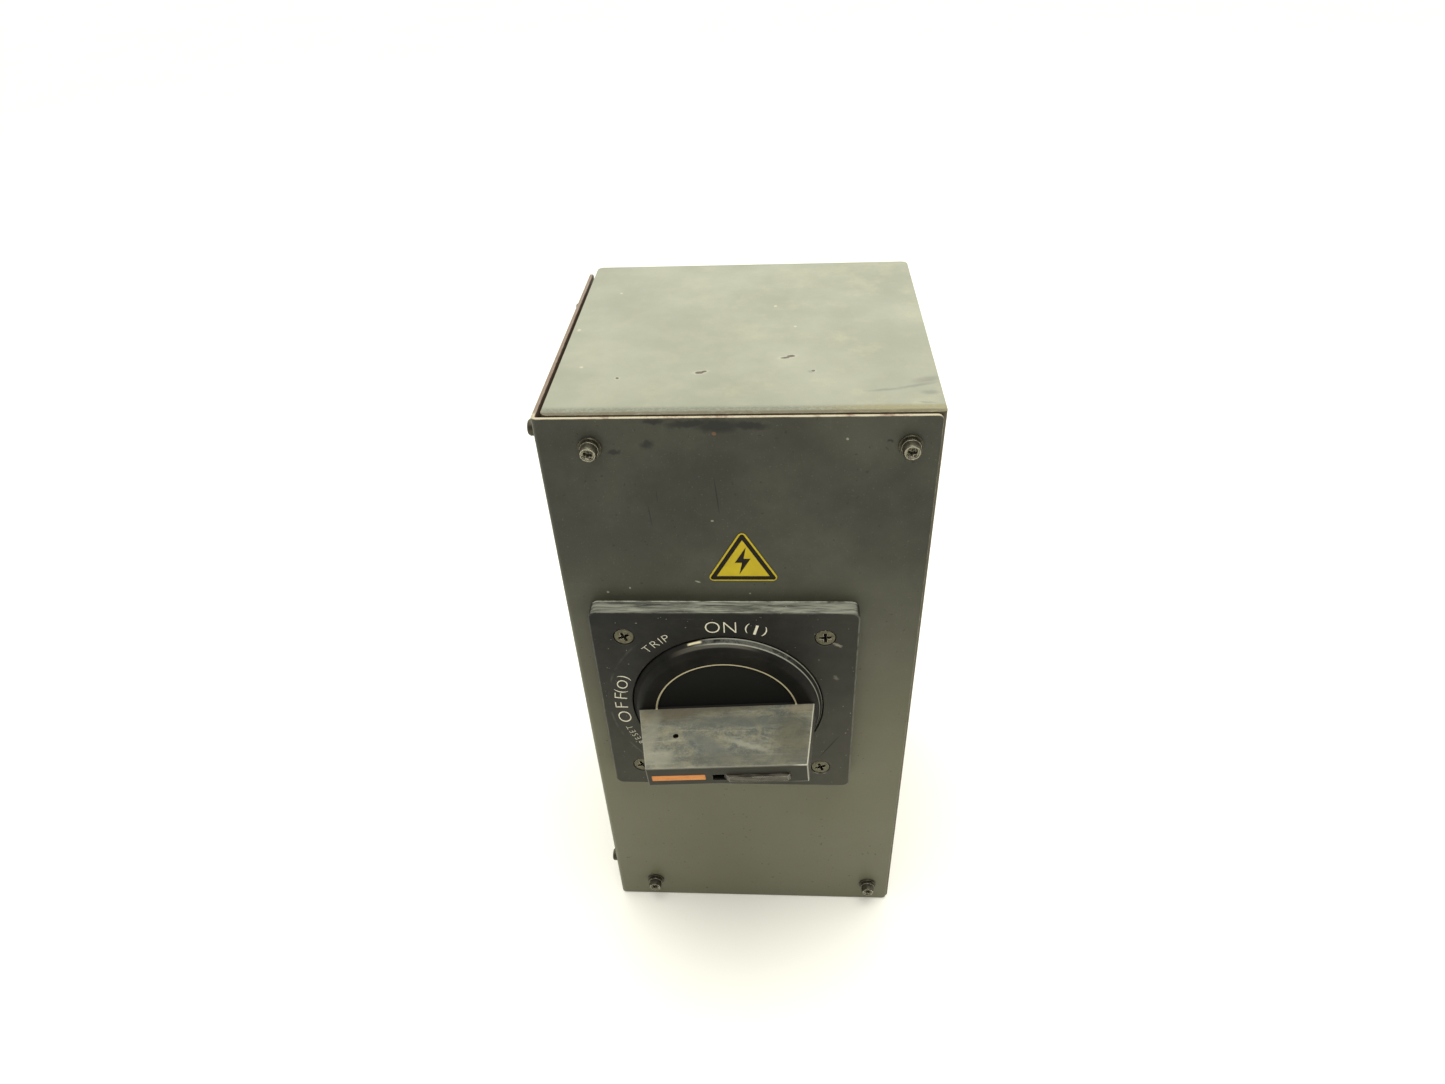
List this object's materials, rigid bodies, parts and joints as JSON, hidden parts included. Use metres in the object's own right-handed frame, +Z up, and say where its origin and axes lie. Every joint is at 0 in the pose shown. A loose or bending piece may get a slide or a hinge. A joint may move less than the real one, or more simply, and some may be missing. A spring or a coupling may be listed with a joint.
{
  "type": "enclosed rotary isolator",
  "caption": "Tall sheet-steel box with a rotary isolating handle on a square black plate, worked through a rack and pinion to a moulded-case breaker inside.",
  "frame": {"origin": "middle of the box's flat underside", "axes": "+Z up the box, -Y out of the handle's face towards the operator, +X to the operator's right"},
  "size_m": [0.1695, 0.2022, 0.3345],
  "materials": {
    "enclosure_paint": "satin, worn at the edges",
    "zinc_steel": "dull yellowed zinc",
    "bright_steel": "plain",
    "handle_plastic": "satin, scuffed",
    "breaker_plastic": "moulded",
    "cover_plastic": "moulded",
    "orange_plastic": "faded",
    "red_plastic": "moulded",
    "label_yellow": "printed film",
    "seal_rubber": "matt",
    "copper": "plain copper",
    "carrier_plastic": "moulded"
  },
  "bodies": {
    "box": {"breaker_base": "breaker_plastic", "breaker_cover": "cover_plastic", "breaker_screw_1": "bright_steel", "breaker_screw_2": "bright_steel", "cable_grommet": "seal_rubber", "clamp_plate": "bright_steel", "earth_stud": "copper", "enclosure_body": "enclosure_paint", "frame_screw_1": "bright_steel", "frame_screw_2": "bright_steel", "frame_screw_3": "bright_steel", "frame_screw_4": "bright_steel", "front_cover": "enclosure_paint", "front_screw_1": "zinc_steel", "front_screw_2": "zinc_steel", "front_screw_3": "zinc_steel", "front_screw_4": "zinc_steel", "handle_gasket": "seal_rubber", "handle_plate": "handle_plastic", "line_screw_1": "bright_steel", "line_screw_2": "bright_steel", "line_screw_3": "bright_steel", "line_terminal_1": "copper", "line_terminal_2": "copper", "line_terminal_3": "copper", "load_screw_1": "bright_steel", "load_screw_2": "bright_steel", "load_screw_3": "bright_steel", "load_terminal_1": "copper", "load_terminal_2": "copper", "load_terminal_3": "copper", "mechanism_frame": "zinc_steel", "mounting_bracket": "zinc_steel", "plate_screw_1": "zinc_steel", "plate_screw_2": "zinc_steel", "plate_screw_3": "zinc_steel", "plate_screw_4": "zinc_steel", "side_screw_1": "zinc_steel", "side_screw_2": "zinc_steel", "side_screw_3": "zinc_steel", "side_screw_4": "zinc_steel", "warning_label": "label_yellow"},
    "handle": {"rotary_handle": "handle_plastic", "index_strip": "orange_plastic", "lock_screw": "bright_steel", "lock_spring": "bright_steel", "handle_hub": "zinc_steel", "hub_screw_1": "bright_steel", "hub_screw_2": "bright_steel", "hub_circlip": "bright_steel", "handle_shaft": "bright_steel", "pinion": "bright_steel"},
    "lock": {"lock_plate": "bright_steel"},
    "slider": {"toothed_slider": "cover_plastic"},
    "toggle": {"breaker_toggle": "breaker_plastic"},
    "contacts": {"contact_carrier": "carrier_plastic", "contact_arm_1": "copper", "contact_arm_2": "copper", "contact_arm_3": "copper"},
    "test_button": {"trip_button": "red_plastic"}
  },
  "joints": [
    {"name": "handle_turn", "type": "hinge", "parent": "box", "child": "handle", "pos_m": [-0.0087, -0.0757, 0.1792], "axis": [0, 1, 0], "range_deg": [-26, 94]},
    {"name": "lock_slide", "type": "slide", "parent": "handle", "child": "lock", "axis": [0, -1, 0], "range_m": [0, 0.01], "stiffness_N_per_m": 60, "springref_m": -0.01, "deforming": ["lock_spring"]},
    {"name": "slider_lift", "type": "slide", "parent": "box", "child": "slider", "axis": [0, 0, 1], "range_m": [-0.00545, 0.01969]},
    {"name": "toggle_swing", "type": "hinge", "parent": "box", "child": "toggle", "pos_m": [-0.0087, 0.012, 0.1792], "axis": [-1, 0, 0], "range_deg": [-10.4, 37.6]},
    {"name": "contacts_swing", "type": "hinge", "parent": "box", "child": "contacts", "pos_m": [-0.0087, 0.028, 0.1712], "axis": [1, 0, 0], "range_deg": [-28.2, 7.8]},
    {"name": "test_press", "type": "slide", "parent": "box", "child": "test_button", "axis": [0, 1, 0], "range_m": [0, 0.002], "stiffness_N_per_m": 400, "springref_m": -0.001}
  ],
  "couplings": [
    {"joint": "slider_lift", "follows": "handle_turn", "m_per_rad": 0.012},
    {"joint": "toggle_swing", "follows": "handle_turn", "ratio": 0.4},
    {"joint": "contacts_swing", "follows": "handle_turn", "ratio": -0.3}
  ]
}
